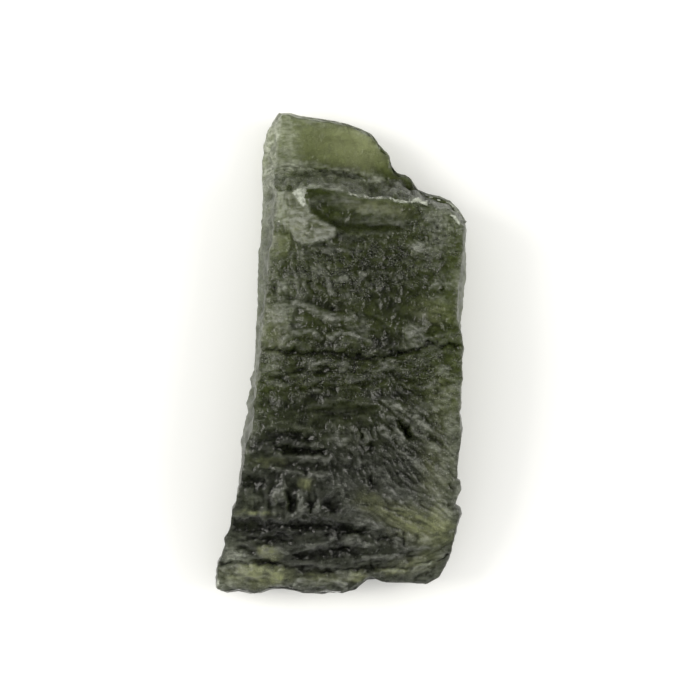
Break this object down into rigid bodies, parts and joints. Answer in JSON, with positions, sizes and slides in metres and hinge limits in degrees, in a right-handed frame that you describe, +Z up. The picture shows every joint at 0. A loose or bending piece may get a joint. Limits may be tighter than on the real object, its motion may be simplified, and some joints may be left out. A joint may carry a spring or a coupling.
{
  "type": "moldavite",
  "caption": "Rough slab of translucent bottle-green natural glass with a ledge and a thin wedge at its tip, an etched face and steep sides, lying on its broad back.",
  "frame": {"origin": "under the middle of the stone's outline, on the surface that it rests on", "axes": "+X to the right across the face, +Y towards the wedge-shaped tip, +Z up out of the face"},
  "size_m": [0.0156, 0.03, 0.0071],
  "materials": {
    "bottle_green_glass": "etched satin, translucent"
  },
  "bodies": {
    "root": {"moldavite": "bottle_green_glass"}
  },
  "joints": []
}
